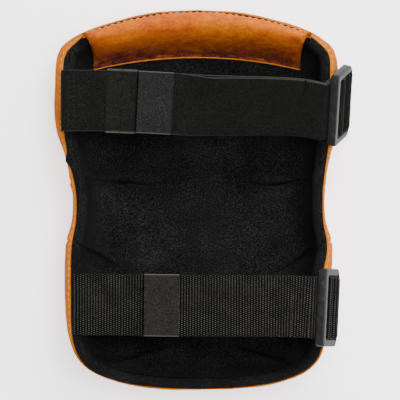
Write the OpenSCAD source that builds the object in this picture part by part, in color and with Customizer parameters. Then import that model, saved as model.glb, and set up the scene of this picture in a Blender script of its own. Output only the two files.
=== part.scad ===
// Strap-on knee pad, leather faced, lying on its kneeling face with the leg side up.
// X runs across the leg, +Y towards the thigh, +Z towards the leg.
// The origin is the centre of the flat kneeling face.

/* [Pad] */
// Length from the top edge to the bottom edge
pad_length = 236.6; // [233:0.2:240]
// Width across the widest, upper part
pad_width = 176.4; // [175:0.2:179]
// Height of the rim beside the upper strap
rim_height = 57; // [56:0.5:58]
// Share of the rim height at which the flank bulges most
bulge_share = 0.6; // [0.55:0.01:0.65]
// How far the upper part of the pad leans to the left
lean = 2; // [1:0.1:2.5]

/* [Layers] */
// Thickness of the leather
leather_t = 2.2; // [1.8:0.1:2.4]
// Thickness of the foam under the knee
foam_t = 6.8; // [5:0.1:7]
// Thickness of the felt under the knee
felt_t = 3.2; // [2:0.1:3.5]
// Thickness of the liner under the knee
liner_t = 2.2; // [1.6:0.1:2.5]
// Clearance between neighbouring layers
layer_gap = 0.2; // [0.15:0.01:0.25]

/* [Kneeling face] */
// Width of the knee patch
patch_width = 100; // [90:1:104]
// Length of the knee patch
patch_length = 122; // [110:1:124]
// Corner radius of the knee patch
patch_corner = 32; // [25:1:38]

/* [Top facing] */
// Half of the facing's width
facing_half = 68; // [64:1:70]
// Lower edge of the facing at its middle
facing_low = 88.7; // [86:0.1:90]
// Height of the roll above the rim
roll_rise = 11; // [9:0.5:13]

/* [Straps] */
// Width of both straps
strap_width = 38; // [36:0.5:38.5]
// Thickness of the strap
strap_t = 1.4; // [1.2:0.1:1.5]
// Thickness of the hook patch
hook_t = 1; // [0.8:0.1:1.1]
// Thickness of the end tab
tab_t = 1; // [0.8:0.1:1.2]
// Length of the end tab and the hook patch
tab_length = 21; // [18:0.5:24]

/* [Slides] */
// Length of a slide, along its bars
slide_length = 48; // [47:0.5:50]
// Width of a slide, across its bars
slide_width = 21; // [20:0.5:22]
// Thickness of a slide
slide_t = 5.5; // [5:0.1:5.8]
// Width of a bar
bar_width = 4.2; // [4:0.1:4.4]

/* [Rivets] */
// Diameter of a rivet's head
rivet_head = 11; // [9:0.5:12]
// Diameter of a rivet's shank
rivet_shank = 3.4; // [3:0.1:4]

/* [Hidden] */

// Right half of the outline, from the middle of the top edge round to the middle of the bottom
// edge: x, y, height of the rim, and how far the flank bulges out past the rim.
across = pad_width / 176.4;
along = pad_length / 236.6;
tall = rim_height / 57;
outline_key = [
    [0, 118.4, 50, 0.5], [30, 115.8, 50.5, 0.5], [62, 108, 53, 2], [80, 99, 55, 4.5],
    [87, 89, 57, 5], [88.2, 70, 57, 5], [88, 46, 51.5, 4.5], [82, 26, 49, 1.5],
    [78.6, 6, 49, 3], [79, -12, 50, 3.5], [82.8, -30, 54, 5], [83.4, -60, 57, 6],
    [80, -88, 54, 4], [70, -104.5, 47, 2], [50, -113.5, 42, 1], [25, -117.3, 40, 0.5],
    [0, -118.2, 40, 0.5]
];
spline_steps = 2;

function key_at(k) = outline_key[max(0, min(len(outline_key) - 1, k))];
function spline(a, b, c, d, t) =
    0.5 * (2 * b + (c - a) * t + (2 * a - 5 * b + 4 * c - d) * t * t
        + (3 * b - a - 3 * c + d) * t * t * t);
function sway(y) = -0.8 - (lean - 0.8) * max(0, min(1, y / 60));
// How far the lower rivet draws the flank in behind its slide, at which y, and over what reach
rivet_pull = 1.8;
rivet_pull_y = -66;
rivet_pull_reach = 26;
function pinch(y, side) =
    side > 0 ? rivet_pull * exp(-pow((y - rivet_pull_y) / rivet_pull_reach, 4)) : 0;
function placed(p, side) = [
    side * p[0] * across + sway(p[1]) - pinch(p[1], side), p[1] * along, p[2] * tall, p[3]
];

half_outline = [
    for (k = [0 : len(outline_key) - 2], j = [0 : spline_steps - 1])
        spline(key_at(k - 1), key_at(k), key_at(k + 1), key_at(k + 2), j / spline_steps),
    outline_key[len(outline_key) - 1]
];
half_count = len(half_outline);
rim = concat(
    [for (p = half_outline) placed(p, 1)],
    [for (i = [half_count - 2 : -1 : 1]) placed(half_outline[i], -1)]
);
count = len(rim);
function rim_at(i) = rim[(i + count) % count];
function outward(i) =
    let (d = rim_at(i + 1) - rim_at(i - 1), size = norm([d[0], d[1]]))
    [-d[1], d[0]] / size;

// The flat part under the knee, as a share of the outline
base_x = 0.6;
base_y = 0.56;
patch_t = leather_t;
shell_z = patch_t + layer_gap;
foam_z = shell_z + leather_t + layer_gap;
felt_z = foam_z + foam_t + layer_gap;
liner_z = felt_z + felt_t + layer_gap;
floor_z = liner_z + liner_t;

// Distance of each face from the outline, at the rim
leather_in = 2;
foam_out = leather_in + layer_gap;
foam_in = foam_out + 2.4;
felt_out = foam_in + layer_gap;
felt_in = felt_out + 1;
liner_out = felt_in + layer_gap;
liner_in = liner_out + 1.6;

// A point on a face of the bowl. t runs from 0 at the flat part to 1 at the bulge and 2 at
// the rim. side is [distance from the outline, height under the knee, drop below the rim].
function on_face(i, side, t) =
    let (
        p = rim_at(i), n = outward(i),
        wall = [p[0], p[1]] - n * side[0],
        base = [p[0] * base_x, p[1] * base_y],
        bulge_z = bulge_share * p[2],
        top_z = p[2] - side[2],
        a = 90 * (t <= 1 ? t : t - 1),
        flat = t <= 1 ? base + (wall - base) * sin(a) : wall - n * p[3] * (1 - cos(a)),
        z = t <= 1 ? side[1] + (bulge_z - side[1]) * (1 - cos(a))
            : bulge_z + (top_z - bulge_z) * sin(a)
    )
    [flat[0], flat[1], z];

flank_steps = [0, 0.2, 0.4, 0.6, 0.8, 1, 1.25, 1.5, 1.75, 2];
function rising(side) = [for (t = flank_steps) [side, t]];
function falling(side) = [for (k = [len(flank_steps) - 1 : -1 : 0]) [side, flank_steps[k]]];

// A closed bowl between the face of the first station and the face of the last one
module bowl(stations) {
    rings = len(stations);
    low = [0, 0, stations[0][0][1]];
    high = [0, 0, stations[rings - 1][0][1]];
    points = concat(
        [low],
        [for (s = stations, i = [0 : count - 1]) on_face(i, s[0], s[1])],
        [high]
    );
    last = len(points) - 1;
    faces = concat(
        [for (i = [0 : count - 1]) [0, 1 + (i + 1) % count, 1 + i]],
        [for (r = [0 : rings - 2], i = [0 : count - 1])
            let (a = 1 + r * count, b = a + count, j = (i + 1) % count)
            [a + i, a + j, b + j, b + i]],
        [for (i = [0 : count - 1])
            let (a = 1 + (rings - 1) * count)
            [last, a + i, a + (i + 1) % count]]
    );
    polyhedron(points, faces, convexity = 8);
}

leather_edge = 2;
filling_edge = 3.2;
turnover = 2.6;

module leather_solid() {
    bowl(concat(rising([0, shell_z, leather_edge]),
        falling([leather_in, shell_z + leather_t, leather_edge])));
}

// Everything from the leather to the liner, grown by the clearance c
module pad_block(c) {
    bowl(concat(rising([-c, shell_z - c, -c]), falling([liner_in + c, floor_z + c, -c])));
}

module leather_shell() {
    color("#d98a3c") difference() {
        leather_solid();
        rivet_holes(rivet_shank + 0.2, 2, 10);
    }
}

module foam_core() {
    color("#c9c9b8") difference() {
        bowl(concat(rising([foam_out, foam_z, filling_edge]),
            falling([foam_in, foam_z + foam_t, filling_edge])));
        rivet_holes(washer_d + 1, -strap_t / 2 - leather_t - 0.1, 6);
    }
}

module felt_layer() {
    color("#8c8478")
        bowl(concat(rising([felt_out, felt_z, filling_edge]),
            falling([felt_in, felt_z + felt_t, filling_edge])));
}

module liner() {
    color("#141416")
        bowl(concat(
            rising([liner_out, liner_z, filling_edge]),
            [[[foam_out, liner_z, turnover], 2], [[foam_out, liner_z, layer_gap], 2]],
            falling([liner_in, floor_z, 0])
        ));
}

module rounded(w, l, r) {
    square([w - 2 * r, l], center = true);
    square([w, l - 2 * r], center = true);
    for (x = [-1, 1], y = [-1, 1])
        translate([x * (w / 2 - r), y * (l / 2 - r)]) circle(r, $fn = 64);
}
module rounded_plate(w, l, r, t) {
    linear_extrude(t) rounded(w, l, r);
}

// The patch, with a groove in its face that keeps the stitches clear of the ground
module knee_patch() {
    color("#c4762f") difference() {
        rounded_plate(patch_width, patch_length, patch_corner, patch_t);
        translate([0, 0, -1]) linear_extrude(groove_depth + 1) difference() {
            rounded_outline(seam_inset - groove_width / 2);
            rounded_outline(seam_inset + groove_width / 2);
        }
    }
}
seam_inset = 4;
groove_width = 1.4;
groove_depth = 1;
module rounded_outline(inset) {
    rounded(patch_width - 2 * inset, patch_length - 2 * inset, patch_corner - inset);
}

// Top roll and facing: a puffed cross-section carried from one side to the other
roll_steps = 20;
function top_edge(x) = 118.4 * along - x * x / 345;
function top_rim(x) = 50 * tall + 6 * pow(x / 75, 2);
function facing_edge(x) = facing_low - 8.7 * pow(x / 68, 2);
function bezier(a, b, c, d, t) =
    a * pow(1 - t, 3) + 3 * b * t * pow(1 - t, 2) + 3 * c * t * t * (1 - t) + d * pow(t, 3);
function roll_section(x, g) =
    let (
        ye = top_edge(x) - 2.6, yl = facing_edge(x), zr = top_rim(x),
        fall = 6 * pow(x / 68, 2),
        a = [ye + g, zr - 7], b = [ye + 0.6 + g, zr + roll_rise + g],
        c = [yl + 12, zr + roll_rise + 2 - fall / 2 + g], d = [yl - g, 20 + fall]
    )
    concat(
        [for (k = [0 : 10]) bezier(a, b, c, d, k / 10)],
        [[yl - g, 14], [ye - 18, 14], [ye - 6, zr - 29]]
    );

module roll_block(half, g) {
    sections = [
        for (k = [0 : roll_steps])
            let (x = half * (2 * k / roll_steps - 1))
            [for (p = roll_section(x, g)) [x - lean, p[0], p[1]]]
    ];
    m = len(sections[0]);
    points = [for (s = sections, p = s) p];
    start = [[for (i = [0 : m - 1]) i]];
    end = [[for (i = [m - 1 : -1 : 0]) roll_steps * m + i]];
    sides = [
        for (k = [0 : roll_steps - 1], i = [0 : m - 1])
            let (a = k * m + i, b = k * m + (i + 1) % m)
            [a, a + m, b + m, b]
    ];
    polyhedron(points, concat(start, sides, end), convexity = 6);
}

module top_roll() {
    color("#d8d2c0") difference() {
        roll_block(facing_half - 2.4, 0);
        pad_block(0.3);
    }
}

module top_facing() {
    color("#dd8a3e") difference() {
        roll_block(facing_half, 2);
        roll_block(facing_half - 2, 0.2);
        pad_block(0.25);
    }
}

// Strap and slide places. Each row is: middle of the slide's outer bar, tilt of the bars out of
// the plane of the pad, lean of the slide against the flank, x of the anchor tab at the rivet
// from the outer bar, middle of the strap at its left end, x of that end and of the tail's end.
upper = 0;
lower = 1;
places = [
    [[89.6, 61.5, 53.3], 26, 66, -1.8, 59.5, -84.5, -38],
    [[81.9, -66.5, 54.4], 0, 66, -0.3, -64.5, -77, -34]
];
// Turn of both slides on the pad, seen from the leg side
slide_turn = -2.7;
function bar_at(k) = places[k][0];
function tilt(k) = places[k][1];
function slide_lean(k) = places[k][2];
function rivet_x(k) = places[k][3];
function start_y(k) = places[k][4];
function start_x(k) = places[k][5];
function tail_x(k) = places[k][6];

bar_pitch = slide_width - bar_width;
centre_bar = bar_pitch / 2;
centre_r = 1.6;
outer_r = bar_width / 2;
fit = 0.15;
swivel_fit = 0.3;
tail_depth = -(slide_t / 2 + fit + strap_t / 2);
lap_gap = 0.3;
stand_depth = tail_depth - strap_t - lap_gap;
bend_r = 2.5;
bend_x = -(bar_pitch + bar_width / 2 + 0.3);
bend_depth = stand_depth - bend_r;

// From the slide's own plane to the plane across the bars, with the outer bar at the origin
function leaned(p, k) =
    let (a = slide_lean(k))
    [p[0] * cos(a) + p[1] * sin(a), p[1] * cos(a) - p[0] * sin(a)];
// From the plane across the bars to the pad
function turned(p, a) = [p[0] * cos(a) - p[1] * sin(a), p[0] * sin(a) + p[1] * cos(a), p[2]];
function across_bars(p, k) =
    bar_at(k) + turned([p[0], -p[1] * sin(tilt(k)), p[1] * cos(tilt(k))], slide_turn);
function bend_centre(k) = leaned([bend_x, bend_depth], k);

module at_slide(k) {
    translate(bar_at(k)) rotate([tilt(k), 0, slide_turn]) children();
}

// A strip of webbing along a path in the plane across the bars
function left_of(path, i) =
    let (
        last = len(path) - 1,
        d = path[min(last, i + 1)] - path[max(0, i - 1)]
    )
    [-d[1], d[0]] / norm(d);
function thick_line(path, t) = concat(
    [for (i = [0 : len(path) - 1]) path[i] + left_of(path, i) * t / 2],
    [for (i = [len(path) - 1 : -1 : 0]) path[i] - left_of(path, i) * t / 2]
);
module web(path, w, t) {
    rotate([90, 0, 0]) linear_extrude(w, center = true) polygon(thick_line(path, t));
}
function arc(c, r, from, to, steps) = [
    for (k = [0 : steps]) let (a = from + (to - from) * k / steps) c + r * [cos(a), sin(a)]
];

module slide(k) {
    window_l = slide_length - 2 * bar_width;
    corner = 2;
    at_slide(k) rotate([0, slide_lean(k), 0]) {
        translate([-bar_pitch / 2, 0, -slide_t / 2]) difference() {
            rounded_plate(slide_width, slide_length, corner, slide_t);
            translate([bar_width / 2, 0, -1])
                linear_extrude(slide_t + 2)
                    square([bar_pitch + 0.02, window_l], center = true);
        }
        for (bar = [[0, outer_r], [-centre_bar, centre_r]])
            translate([bar[0], 0, 0]) rotate([90, 0, 0])
                cylinder(h = window_l + 1, r = bar[1], center = true, $fn = 32);
    }
}

module strap_turn(k) {
    c = [-centre_bar, 0];
    r = centre_r + fit + strap_t / 2;
    start = bend_x + 0.5;
    path = concat(
        [[start, stand_depth], [-14.6, stand_depth], [-12.6, stand_depth + 0.3],
            [-10.4, -3.8]],
        arc(c, r, -80, 180, 13),
        [[-11.4, -1.6], [-12.4, -2.9], [-14, tail_depth], [start, tail_depth]]
    );
    at_slide(k) web([for (p = path) leaned(p, k)], strap_width, strap_t);
}

// Angle at which a line from the point p leaves a circle of radius r round the origin
function leaves(p, r, side) = atan2(p[1], p[0]) + side * acos(r / norm(p));

// A loop round the outer bar, folded narrower towards the rivet
module anchor_tab(k) {
    r = outer_r + swivel_fit + strap_t / 2;
    wide = strap_width / 2 - 0.5;
    narrow = 11;
    taper_from = -7;
    tab_low = -20;
    inner = [rivet_x(k), -9];
    outer = [rivet_x(k) + strap_t + 0.2, -10];
    path = concat(
        [[inner[0], tab_low], inner],
        arc([0, 0], r, 360 + leaves(inner, r, -1), leaves(outer, r, 1), 14),
        [outer, [outer[0], tab_low]]
    );
    at_slide(k)
        difference() {
            web(path, 2 * wide, strap_t);
            for (side = [-1, 1])
                rotate([0, 90, 0]) linear_extrude(40, center = true)
                    polygon([
                        [-taper_from, side * wide], [-tab_low, side * narrow],
                        [-tab_low + 1, side * narrow], [-tab_low + 1, side * (wide + 1)],
                        [-taper_from, side * (wide + 1)]
                    ]);
            translate([0, 0, rivet_drop]) rotate([0, 90, 0])
                cylinder(h = 40, d = rivet_shank + 0.2, center = true, $fn = 32);
        }
}

// Rivets through the anchor tabs and the leather
rivet_drop = -15.5;
washer_d = 8;
washer_t = 0.9;
head_h = 2;
module at_rivet(k) {
    at_slide(k) translate([0, 0, rivet_drop]) children();
}
// Holes of the given depth into the flank, from the given distance outside the anchor tab
module rivet_holes(d, start, depth) {
    for (k = [upper, lower])
        at_rivet(k) translate([rivet_x(k) + start, 0, 0])
            rotate([0, -90, 0]) cylinder(h = depth, d = d, $fn = 32);
}
module rivet(k) {
    seat = rivet_x(k) + 1.5 * strap_t + 0.2 + fit;
    tail = rivet_x(k) - strap_t / 2 - leather_t - 2.7;
    head_r = rivet_head / 2;
    dome_r = (head_r * head_r + head_h * head_h) / (2 * head_h);
    at_rivet(k) rotate([0, 90, 0]) {
        translate([0, 0, tail]) cylinder(h = seat - tail + 0.5, d = rivet_shank, $fn = 32);
        translate([0, 0, seat]) intersection() {
            translate([0, 0, head_h - dome_r]) sphere(dome_r, $fn = 96);
            cylinder(h = head_h, d = rivet_head, $fn = 64);
        }
    }
}
module rivet_washer(k) {
    at_rivet(k)
        translate([rivet_x(k) - strap_t / 2 - leather_t - 1.7 - washer_t, 0, 0])
            rotate([0, 90, 0]) difference() {
                cylinder(h = washer_t, d = washer_d, $fn = 48);
                translate([0, 0, -1])
                    cylinder(h = washer_t + 2, d = rivet_shank + 0.1, $fn = 32);
            }
}

// Straps above the pad. The strap lies level at its left end and takes the tilt of the slide
// as it nears it. A station is [middle, direction across the strap, normal].
twist_from = -20;
function bend_point(k) = across_bars(bend_centre(k), k);
function strap_start_z(k) = rim_height + 0.4 + strap_t / 2;
function strap_share(k, x) =
    (x - start_x(k)) / (bend_point(k)[0] - start_x(k));
function strap_turned(k, x) =
    let (s = max(0, min(1, (x - twist_from) / (bend_point(k)[0] - twist_from))))
    tilt(k) * s * s * (3 - 2 * s);
function strap_centre(k, x) =
    let (
        s = strap_share(k, x),
        low = [start_x(k), start_y(k), strap_start_z(k)],
        high = bend_point(k) + bend_r * turned([0, -sin(tilt(k)), cos(tilt(k))], slide_turn)
    )
    [x, low[1] + (high[1] - low[1]) * s * s, low[2] + (high[2] - low[2]) * s];
function strap_station(k, x, up) =
    let (
        a = strap_turned(k, x),
        turn = slide_turn * max(0, min(1, strap_share(k, x))),
        n = turned([0, -sin(a), cos(a)], turn)
    )
    [strap_centre(k, x) + n * up, turned([0, cos(a), sin(a)], turn), n];
function bend_station(k, r, a) =
    let (
        c = bend_centre(k) + r * [sin(a), cos(a)],
        t = tilt(k)
    )
    [
        across_bars(c, k), turned([0, cos(t), sin(t)], slide_turn),
        turned([sin(a), -cos(a) * sin(t), cos(a) * cos(t)], slide_turn)
    ];

module ribbon(stations, w, t) {
    last = len(stations) - 1;
    points = [
        for (s = stations, c = [[-1, -1], [1, -1], [1, 1], [-1, 1]])
            s[0] + s[1] * c[0] * w / 2 + s[2] * c[1] * t / 2
    ];
    sides = [
        for (k = [0 : last - 1], i = [0 : 3])
            let (a = 4 * k + i, b = 4 * k + (i + 1) % 4)
            each i < 2 ? [[a, a + 4, b + 4], [a, b + 4, b]] : [[a, a + 4, b], [a + 4, b + 4, b]]
    ];
    ends = [[0, 1, 2, 3], [for (i = [3 : -1 : 0]) 4 * last + i]];
    polyhedron(points, concat(sides, ends), convexity = 4);
}

function run(k, from, to, up_from, up_to, steps) = [
    for (j = [0 : steps])
        strap_station(k, from + (to - from) * j / steps, up_from + (up_to - up_from) * j / steps)
];
function bend(k, r) = [
    for (j = [1 : 5]) bend_station(k, r, slide_lean(k) * j / 5)
];

strip_t = 0.5;
hook_up = strap_t / 2 + 0.1 + strip_t + 0.3 + hook_t / 2;
tail_up = hook_up + hook_t / 2 + 0.3 + strap_t / 2;
tab_up = tail_up + strap_t / 2 + 0.3 + tab_t / 2;
lap_up = strap_t + lap_gap;

module standing_strap(k) {
    stop = bend_point(k)[0];
    ribbon(concat(run(k, start_x(k), stop, 0, 0, 14), bend(k, bend_r)), strap_width, strap_t);
}
module strap_tail(k) {
    stop = bend_point(k)[0];
    lift_x = tail_x(k) + tab_length + 8;
    ribbon(concat(
        run(k, tail_x(k), lift_x, tail_up, tail_up, 3),
        [for (s = run(k, lift_x, stop, tail_up, lap_up, 9)) if (s[0][0] > lift_x + 0.1) s],
        bend(k, bend_r + lap_up)
    ), strap_width, strap_t);
}
module end_tab(k) {
    ribbon(run(k, tail_x(k) - 0.5, tail_x(k) + tab_length, tab_up, tab_up, 2),
        strap_width, tab_t);
}
module hook_patch(k) {
    ribbon(run(k, tail_x(k), tail_x(k) + tab_length, hook_up, hook_up, 2),
        strap_width - 2, hook_t);
}

// Stitches: short round bars laid along a line, half sunk in a groove's clearance
stitch_d = 0.7;
module stitch(a, b) {
    d = b - a;
    size = norm(d);
    translate((a + b) / 2)
        rotate([0, acos(d[2] / size), atan2(d[1], d[0])])
            cylinder(h = size, d = stitch_d, center = true, $fn = 16);
}
module across_stitches(k, x, up, n) {
    span = strap_width - 6;
    for (j = [0 : n - 1]) {
        s = strap_station(k, x, up);
        from = s[0] + s[1] * span * (j / n - 0.5);
        stitch(from, from + s[1] * span / n * 0.6);
    }
}
module strap_tack(k) {
    for (x = [2, 5])
        across_stitches(k, start_x(k) + x, strap_t / 2 + stitch_d / 2 + 0.05, 8);
}
module tab_stitches(k) {
    for (x = [2, tab_length - 2])
        across_stitches(k, tail_x(k) + x, tab_up + tab_t / 2 + stitch_d / 2 + 0.05, 8);
}

module edge_stitches() {
    side = [-(stitch_d / 2 + 0.15), shell_z, leather_edge];
    color("#e9c79a")
        for (i = [0 : count - 1])
            if (abs(rim_at(i)[1]) < 100 * along) {
                a = on_face(i, side, 1.7);
                b = on_face(i + 1, side, 1.7);
                stitch(a + (b - a) * 0.15, a + (b - a) * 0.5);
                stitch(a + (b - a) * 0.65, b);
            }
}

module patch_stitches() {
    w = patch_width / 2 - seam_inset;
    l = patch_length / 2 - seam_inset;
    r = patch_corner - seam_inset;
    per_corner = 8;
    corners = [
        for (q = [[1, 1, 0], [-1, 1, 90], [-1, -1, 180], [1, -1, 270]],
            j = [0 : per_corner])
            let (a = q[2] + 90 * j / per_corner)
            [q[0] * (w - r), q[1] * (l - r)] + r * [cos(a), sin(a)]
    ];
    z = groove_depth - stitch_d / 2 - 0.1;
    color("#e9c79a")
        for (i = [0 : len(corners) - 1]) {
            a = corners[i];
            b = corners[(i + 1) % len(corners)];
            n = max(1, round(norm(b - a) / 8));
            for (j = [0 : n - 1]) {
                p = a + (b - a) * (j + 0.1) / n;
                q = a + (b - a) * (j + 0.75) / n;
                stitch([p[0], p[1], z], [q[0], q[1], z]);
            }
        }
}

// The seam that holds the facing's outer edge
module facing_stitches() {
    n = 26;
    step = 2 * (facing_half - 6) / n;
    color("#e9c79a")
        for (j = [0 : n - 1]) {
            x = -facing_half + 6 + step * j;
            stitch(seam_point(x), seam_point(x + step * 0.6));
        }
}
function seam_point(x) =
    let (s = roll_section(x, 2 + stitch_d / 2 + 0.1), p = (s[2] + s[3]) / 2)
    [x - lean, p[0], p[1]];

module upper_strap() { color("#1c1c1b") standing_strap(upper); }
module upper_strap_strips() {
    width = 9;
    color("#242423")
        for (j = [0, 1]) {
            from = tail_x(upper) - 1 - (2 - j) * (width + 0.4);
            ribbon(run(upper, from, from + width, strap_t / 2 + 0.1 + strip_t / 2,
                strap_t / 2 + 0.1 + strip_t / 2, 1), strap_width + 1.6, strip_t);
        }
}
module upper_strap_tack() { color("#2a2a2a") strap_tack(upper); }
module upper_anchor_tab() { color("#1c1c1b") anchor_tab(upper); }
module upper_rivet() { color("#202020") rivet(upper); }
module upper_rivet_washer() { color("#8a8a8a") rivet_washer(upper); }
module upper_slide() { color("#85858c") slide(upper); }
module upper_strap_turn() { color("#1c1c1b") strap_turn(upper); }
module upper_strap_tail() { color("#1c1c1b") strap_tail(upper); }
module upper_end_tab() { color("#2e2e2e") end_tab(upper); }
module upper_hook_patch() { color("#101010") hook_patch(upper); }
module upper_tab_stitches() { color("#3a3a3a") tab_stitches(upper); }
module lower_strap() { color("#1b1b19") standing_strap(lower); }
module lower_strap_tack() { color("#2a2a2a") strap_tack(lower); }
module lower_anchor_tab() { color("#1b1b19") anchor_tab(lower); }
module lower_rivet() { color("#202020") rivet(lower); }
module lower_rivet_washer() { color("#8a8a8a") rivet_washer(lower); }
module lower_slide() { color("#85858c") slide(lower); }
module lower_strap_turn() { color("#1b1b19") strap_turn(lower); }
module lower_strap_tail() { color("#1b1b19") strap_tail(lower); }
module lower_end_tab() { color("#33322f") end_tab(lower); }
module lower_hook_patch() { color("#101010") hook_patch(lower); }
module lower_tab_stitches() { color("#3a3a3a") tab_stitches(lower); }

leather_shell();
knee_patch();
foam_core();
felt_layer();
liner();
top_roll();
top_facing();
edge_stitches();
patch_stitches();
facing_stitches();
upper_strap();
upper_strap_strips();
upper_strap_tack();
upper_anchor_tab();
upper_rivet();
upper_rivet_washer();
upper_slide();
upper_strap_turn();
upper_strap_tail();
upper_end_tab();
upper_hook_patch();
upper_tab_stitches();
lower_strap();
lower_strap_tack();
lower_anchor_tab();
lower_rivet();
lower_rivet_washer();
lower_slide();
lower_strap_turn();
lower_strap_tail();
lower_end_tab();
lower_hook_patch();
lower_tab_stitches();
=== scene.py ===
import math
from itertools import product

import bpy
import numpy as np
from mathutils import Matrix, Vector, noise
from mathutils.bvhtree import BVHTree


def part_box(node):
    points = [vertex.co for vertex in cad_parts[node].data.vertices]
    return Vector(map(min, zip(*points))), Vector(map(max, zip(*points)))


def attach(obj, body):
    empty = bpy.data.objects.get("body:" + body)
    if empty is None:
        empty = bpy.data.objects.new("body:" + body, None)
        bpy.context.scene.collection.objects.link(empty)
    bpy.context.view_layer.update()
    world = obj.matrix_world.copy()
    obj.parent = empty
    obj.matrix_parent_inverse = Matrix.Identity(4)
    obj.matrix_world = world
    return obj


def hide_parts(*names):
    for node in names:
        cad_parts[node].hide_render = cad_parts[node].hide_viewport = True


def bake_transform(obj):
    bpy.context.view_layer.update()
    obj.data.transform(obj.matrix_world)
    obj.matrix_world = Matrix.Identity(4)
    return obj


# A leather-faced knee pad lying on its kneeling face, leg side up, thigh end towards +Y.
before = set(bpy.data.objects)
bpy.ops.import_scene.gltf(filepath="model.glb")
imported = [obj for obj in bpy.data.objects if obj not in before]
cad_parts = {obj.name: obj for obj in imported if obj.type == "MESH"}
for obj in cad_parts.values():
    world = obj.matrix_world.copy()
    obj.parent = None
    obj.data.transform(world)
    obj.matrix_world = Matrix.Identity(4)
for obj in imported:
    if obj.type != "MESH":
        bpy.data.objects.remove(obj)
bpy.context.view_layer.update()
MM = 0.001


# ---- mesh helpers
def mesh_piece(name, vertices, faces, smooth_angle=50):
    """A closed mesh piece with smooth faces and sharp edges above the given angle."""
    data = bpy.data.meshes.new(name)
    data.from_pydata([tuple(v) for v in vertices], [], [tuple(f) for f in faces])
    data.validate()
    piece = bpy.data.objects.new(name, data)
    bpy.context.scene.collection.objects.link(piece)
    for polygon in data.polygons:
        polygon.use_smooth = True
    data.set_sharp_from_angle(angle=math.radians(smooth_angle))
    return piece


def add_attribute(piece, name, values):
    """A number on every vertex, which the materials read."""
    layer = piece.data.attributes.new(name, "FLOAT", "POINT")
    layer.data.foreach_set("value", np.asarray(values, np.float32).ravel())


def grid_normals(grid, wrap):
    """Unit normals of a grid of points, closed round its second direction when wrap is true."""
    down = np.gradient(grid, axis=0)
    if wrap:
        along = np.roll(grid, -1, axis=1) - np.roll(grid, 1, axis=1)
    else:
        along = np.gradient(grid, axis=1)
    normal = np.cross(along, down)
    size = np.linalg.norm(normal, axis=2, keepdims=True)
    return normal / np.maximum(size, 1e-12)


def bump(distance, width):
    """A smooth hill of height 1, given the distance from its middle line."""
    return np.exp(-((distance / width) ** 2))


def smooth_step(value, low, high):
    """0 up to low and 1 from high, or the other way round when low is the greater."""
    t = np.clip((value - low) / (high - low), 0, 1)
    return t * t * (3 - 2 * t)


def soft_noise(points, size, shift=0.0):
    """Smooth unevenness between about -1 and 1, with features of the given size."""
    flat = points.reshape(-1, 3)
    offset = Vector((shift, shift * 0.7, shift * 1.3))
    values = [noise.noise(Vector(p) / size + offset) for p in flat]
    return np.array(values).reshape(points.shape[:-1])


def path_lengths(points):
    """Distance along a path to each of its points."""
    return np.append(0, np.cumsum(np.linalg.norm(np.diff(points, axis=0), axis=1)))


def along_path(rows, lengths, wanted):
    """Rows of numbers that go with a path, worked out at other distances along it."""
    return np.array([np.interp(wanted, lengths, column) for column in rows.T]).T


def tube(rings, ends="closed"):
    """Vertices and faces of a tube through rings of points, each ring the same length. Its ends
    are closed, open, or joined to each other."""
    rings = np.asarray(rings)
    rows, count = rings.shape[:2]
    total = rows * count
    spans = rows if ends == "joined" else rows - 1
    r, i = np.meshgrid(np.arange(spans), np.arange(count), indexing="ij")
    a = r * count + i
    b = r * count + (i + 1) % count
    faces = np.stack([a, b, (b + count) % total, (a + count) % total], axis=-1)
    faces = faces.reshape(-1, 4).tolist()
    if ends == "closed":
        faces.append(list(range(count))[::-1])
        faces.append(list(range(total - count, total)))
    return rings.reshape(-1, 3), faces


def joined(parts):
    """One list of vertices and one of faces from several parts that have both."""
    vertices, faces = [], []
    for points, sides in parts:
        faces += [[i + len(vertices) for i in side] for side in sides]
        vertices += list(points)
    return vertices, faces


# ---- the padded bowl
# Outline from the middle of the top edge to the middle of the bottom edge: x, y, height of the
# rim, and how far the flank bulges past the rim on the right and on the left, in millimetres.
OUTLINE = np.array([
    [0, 118.4, 50, 0.3, 0.3], [30, 115.8, 50.5, 0.3, 0.3], [62, 108, 53, 1.2, 1.2],
    [80, 99, 55, 3.5, 4.0], [87, 89, 57, 4.2, 4.6], [88.2, 70, 57, 5, 4.6],
    [88, 46, 51.5, 4.5, 4.3], [82, 26, 49, 1.2, 1.0], [78.6, 6, 49, 0.6, 1.6],
    [79, -12, 50, 1.0, 2.2], [82.8, -30, 54, 2.4, 3.2], [83.4, -60, 57, 6, 3.6],
    [80, -88, 54, 1.6, 1.6], [70, -104.5, 47, 0.4, 0.4], [50, -113.5, 42, 0.1, 0.1],
    [25, -117.3, 40, 0, 0], [0, -118.2, 40, 0, 0],
])
RIM_STEPS = 10
# Shares of the outline that are flat under the knee, and of the rim's height where it bulges most
FLAT_SHARE = np.array([0.6, 0.56])
BULGE_SHARE = 0.6
# How far the outline is moved left at the thigh end and at the shin end, in millimetres
LEAN, FOOT_LEAN = 2.0, 0.8


def spline_rows(rows, steps):
    """Catmull-Rom points through the rows, with its ends held."""
    padded = np.vstack([rows[:1], rows, rows[-1:]])
    made = []
    for k in range(len(rows) - 1):
        a, b, c, d = padded[k:k + 4]
        for j in range(steps):
            t = j / steps
            made.append(0.5 * (2 * b + (c - a) * t + (2 * a - 5 * b + 4 * c - d) * t * t
                               + (3 * b - a - 3 * c + d) * t ** 3))
    made.append(rows[-1])
    return np.array(made)


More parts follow.
